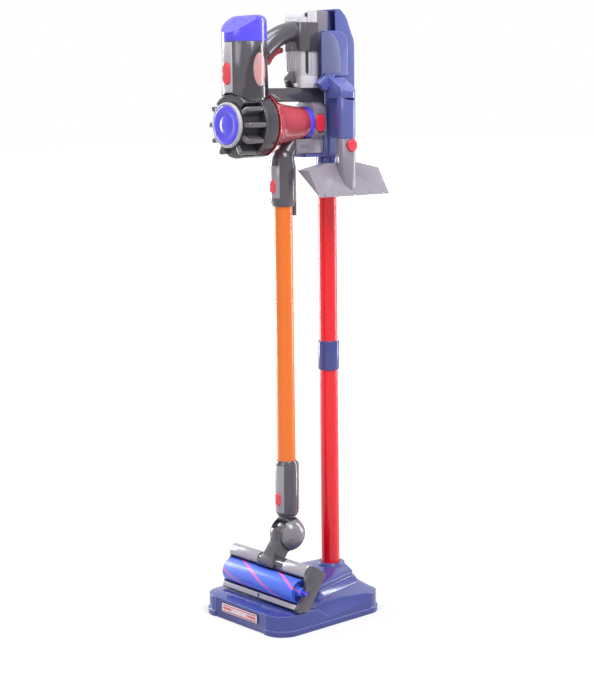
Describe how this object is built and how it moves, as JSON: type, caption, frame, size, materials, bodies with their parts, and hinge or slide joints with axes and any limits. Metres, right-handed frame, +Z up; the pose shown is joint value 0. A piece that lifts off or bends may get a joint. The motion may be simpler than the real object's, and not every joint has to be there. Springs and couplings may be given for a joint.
{
  "type": "toy_stick_vacuum_cleaner_on_stand",
  "caption": "Toy cordless stick vacuum cleaner parked on a blue storage stand with a red pole, orange wand, translucent red dust bin, brush head and a wide hand nozzle in the dock",
  "frame": {"origin": "centre of the base's underside, on the floor", "axes": "+X to the object's right seen from the front, +Y to the back, +Z up; the front looks along -Y"},
  "size_m": [0.17, 0.2241, 0.805],
  "materials": {
    "shell_blue": "moulded, semi-gloss",
    "steel": "plain",
    "pole_red": "extruded, glossy",
    "button_red": "moulded, glossy",
    "dark_grey": "moulded, satin",
    "drum_grey": "moulded, satin",
    "mid_grey": "moulded, satin",
    "light_grey": "silver-grey, semi-gloss",
    "badge_pink": "plain plate",
    "cap_violet": "moulded, glossy",
    "white": "moulded",
    "bin_clear_red": "translucent",
    "wand_orange": "extruded, glossy",
    "cell_green": "bare sleeve, unmarked",
    "roller_blue": "glossy with a coloured spiral"
  },
  "bodies": {
    "stand": {"base_shell": "shell_blue", "base_plate": "shell_blue", "base_screws": "steel", "pole_lower": "pole_red", "pole_coupler": "shell_blue", "pole_upper": "pole_red", "dock_head": "shell_blue", "dock_arm_right": "shell_blue", "dock_arm_left": "shell_blue", "dock_post": "shell_blue", "dock_collar": "shell_blue", "tool_socket": "shell_blue"},
    "tool": {"tool_tube": "mid_grey", "tool_nozzle": "mid_grey"},
    "tool_button": {"tool_button": "button_red"},
    "cleaner": {"housing_right": "dark_grey", "housing_left": "dark_grey", "housing_screws": "steel", "filter_cap": "cap_violet", "front_strip": "light_grey", "badge_right": "badge_pink", "badge_left": "badge_pink", "motor": "steel", "motor_mount": "mid_grey", "cyclone_drum": "drum_grey", "filter_disc": "cap_violet", "filter_rim": "light_grey", "dust_bin": "bin_clear_red", "bin_core": "bin_clear_red", "bin_ring": "cap_violet", "bin_end": "mid_grey", "inlet_block": "mid_grey", "battery_case": "light_grey", "battery_foot": "light_grey", "battery_cells": "cell_green", "rear_spine": "mid_grey", "trigger_pin": "steel", "collar_upper": "dark_grey", "wand_tube": "wand_orange", "collar_lower": "dark_grey"},
    "power_button": {"power_button": "button_red"},
    "fan": {"motor_shaft": "steel", "fan": "white"},
    "bin_button": {"bin_button": "button_red"},
    "battery_latch": {"battery_latch": "dark_grey"},
    "trigger": {"trigger": "button_red"},
    "wand_button_upper": {"wand_button_upper": "button_red"},
    "wand_button_lower": {"wand_button_lower": "button_red"},
    "knuckle": {"swivel_stem": "dark_grey", "ball_shell_left": "light_grey", "ball_shell_right": "dark_grey", "swivel_pin": "steel"},
    "head": {"head_neck": "dark_grey", "head_frame": "dark_grey", "bar_panels": "light_grey", "lip_strip": "light_grey", "roller_axle": "steel"},
    "roller": {"roller": "roller_blue"},
    "wheels": {"rear_wheels": "dark_grey"}
  },
  "joints": [
    {"name": "cleaner_lift", "type": "slide", "parent": "stand", "child": "cleaner", "axis": [0, 0, 1], "range_m": [0, 0.12]},
    {"name": "tool_pull", "type": "slide", "parent": "stand", "child": "tool", "axis": [0, 0, -1], "range_m": [0, 0.06]},
    {"name": "tool_button_press", "type": "slide", "parent": "tool", "child": "tool_button", "axis": [-1, 0, 0], "range_m": [0, 0.0015], "stiffness_N_per_m": 200, "springref_m": -0.0015},
    {"name": "power_button_press", "type": "slide", "parent": "cleaner", "child": "power_button", "axis": [0, 1, 0], "range_m": [0, 0.0015], "stiffness_N_per_m": 200, "springref_m": -0.0015},
    {"name": "bin_button_press", "type": "slide", "parent": "cleaner", "child": "bin_button", "axis": [-1, 0, 0], "range_m": [0, 0.002], "stiffness_N_per_m": 200, "springref_m": -0.0015},
    {"name": "wand_button_upper_press", "type": "slide", "parent": "cleaner", "child": "wand_button_upper", "axis": [0, 1, 0], "range_m": [0, 0.0014], "stiffness_N_per_m": 200, "springref_m": -0.0015},
    {"name": "wand_button_lower_press", "type": "slide", "parent": "cleaner", "child": "wand_button_lower", "axis": [0, 1, 0], "range_m": [0, 0.0014], "stiffness_N_per_m": 200, "springref_m": -0.0015},
    {"name": "battery_latch_press", "type": "hinge", "parent": "cleaner", "child": "battery_latch", "pos_m": [0, 0.0083, 0.7073], "axis": [1, 0, 0], "range_deg": [-6, 0], "stiffness_Nm_per_rad": 0.05, "springref_deg": 5.73},
    {"name": "trigger_squeeze", "type": "hinge", "parent": "cleaner", "child": "trigger", "pos_m": [0, -0.011, 0.752], "axis": [1, 0, 0], "range_deg": [-8, 0], "stiffness_Nm_per_rad": 0.05, "springref_deg": 5.73},
    {"name": "fan_spin", "type": "hinge", "parent": "cleaner", "child": "fan", "pos_m": [0, -0.069, 0.746], "axis": [0, 0, 1], "continuous": true},
    {"name": "head_swivel", "type": "hinge", "parent": "cleaner", "child": "knuckle", "pos_m": [0, -0.008, 0.13], "axis": [0, 0, 1], "range_deg": [-10, 10]},
    {"name": "head_pitch", "type": "hinge", "parent": "knuckle", "child": "head", "pos_m": [0, -0.008, 0.1095], "axis": [1, 0, 0], "range_deg": [-35, 0]},
    {"name": "roller_spin", "type": "hinge", "parent": "head", "child": "roller", "pos_m": [0, -0.049, 0.0525], "axis": [1, 0, 0], "continuous": true},
    {"name": "wheel_spin", "type": "hinge", "parent": "head", "child": "wheels", "pos_m": [0, -0.0244, 0.055], "axis": [1, 0, 0], "continuous": true}
  ]
}
